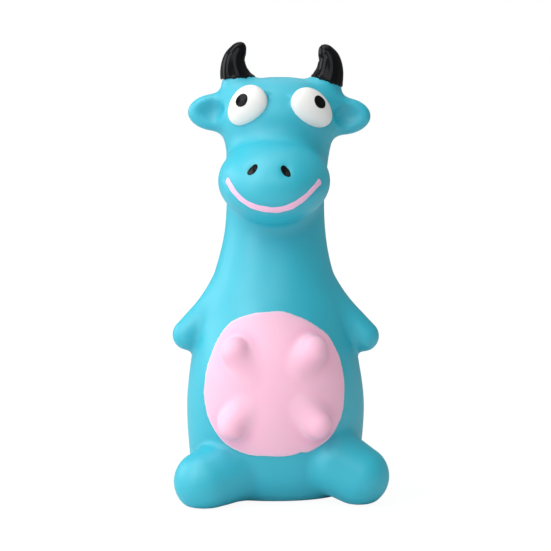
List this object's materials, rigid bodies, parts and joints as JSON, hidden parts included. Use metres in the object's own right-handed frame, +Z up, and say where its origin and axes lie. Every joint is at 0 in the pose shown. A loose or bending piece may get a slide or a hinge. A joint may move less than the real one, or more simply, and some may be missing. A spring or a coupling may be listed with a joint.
{
  "type": "squeaky dog toy",
  "caption": "Hollow soft rubber squeaky dog toy shaped as a seated cow with painted horns, eyes, smile and udder, and a reed squeaker in its seat.",
  "frame": {"origin": "middle of the toy's box, on the floor under its seat", "axes": "+Z up through the crown, -Y the way the cow faces, +X to the right as seen from its front"},
  "size_m": [0.081, 0.0674, 0.1712],
  "materials": {
    "blue_rubber": "matt, dyed through",
    "pink_paint": "satin rubber paint",
    "white_paint": "satin rubber paint",
    "black_paint": "glossy rubber paint",
    "squeaker_plastic": "moulded",
    "reed_brass": "rolled"
  },
  "bodies": {
    "toy": {"toy_skin": "blue_rubber", "mouth_line": "pink_paint", "eye_white_left": "white_paint", "pupil_left": "black_paint", "eye_white_right": "white_paint", "pupil_right": "black_paint", "nostril_left": "black_paint", "nostril_right": "black_paint", "horn_coat_left": "black_paint", "horn_coat_right": "black_paint", "squeaker_housing": "squeaker_plastic", "squeaker_cover": "squeaker_plastic", "reed_seat": "squeaker_plastic", "reed_collar": "reed_brass"},
    "belly": {"udder_coat": "pink_paint"},
    "reed": {"reed": "reed_brass"}
  },
  "joints": [
    {"name": "belly_squeeze", "type": "slide", "parent": "toy", "child": "belly", "axis": [0, 1, 0], "range_m": [0, 0.008], "stiffness_N_per_m": 600, "deforming": ["toy_skin"]},
    {"name": "reed_flex", "type": "hinge", "parent": "toy", "child": "reed", "pos_m": [-0.00235, 0.00403, 0.0094], "axis": [1, 0, 0], "range_deg": [-3, 3], "stiffness_Nm_per_rad": 0.0002}
  ]
}
